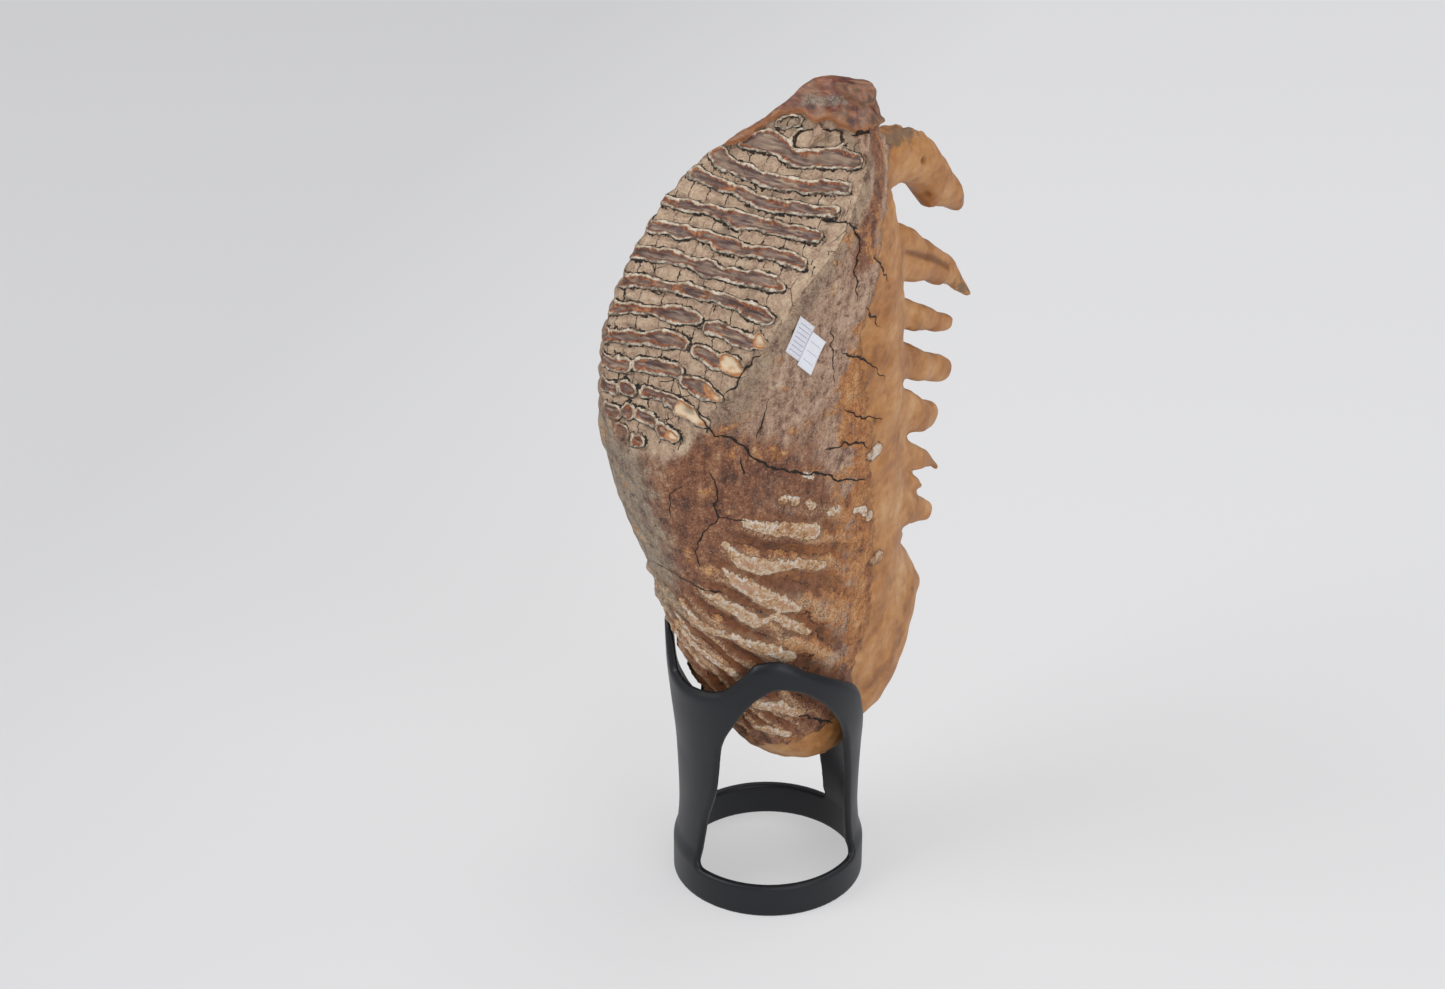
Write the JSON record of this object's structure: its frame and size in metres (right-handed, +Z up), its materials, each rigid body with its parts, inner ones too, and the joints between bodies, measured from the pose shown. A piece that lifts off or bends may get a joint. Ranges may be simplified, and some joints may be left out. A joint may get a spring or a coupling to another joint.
{
  "type": "woolly mammoth molar on a stand",
  "caption": "Whole fossil molar with a worn, ridged chewing face and a comb of roots, standing upright in a printed cradle stand, with paper labels on its side.",
  "frame": {"origin": "below the middle of the whole object's box, on the surface it stands on", "axes": "+Z up along the upright tooth, -Y the way its chewing face looks, +Y the way its roots point, +X the side with the labels"},
  "size_m": [0.0968, 0.1486, 0.3314],
  "materials": {
    "fossil": "satin, worn",
    "print": "matte",
    "paper": "matte"
  },
  "bodies": {
    "root": {"molar": "fossil", "stand": "print", "label_upper": "paper", "label_lower": "paper"}
  },
  "joints": []
}
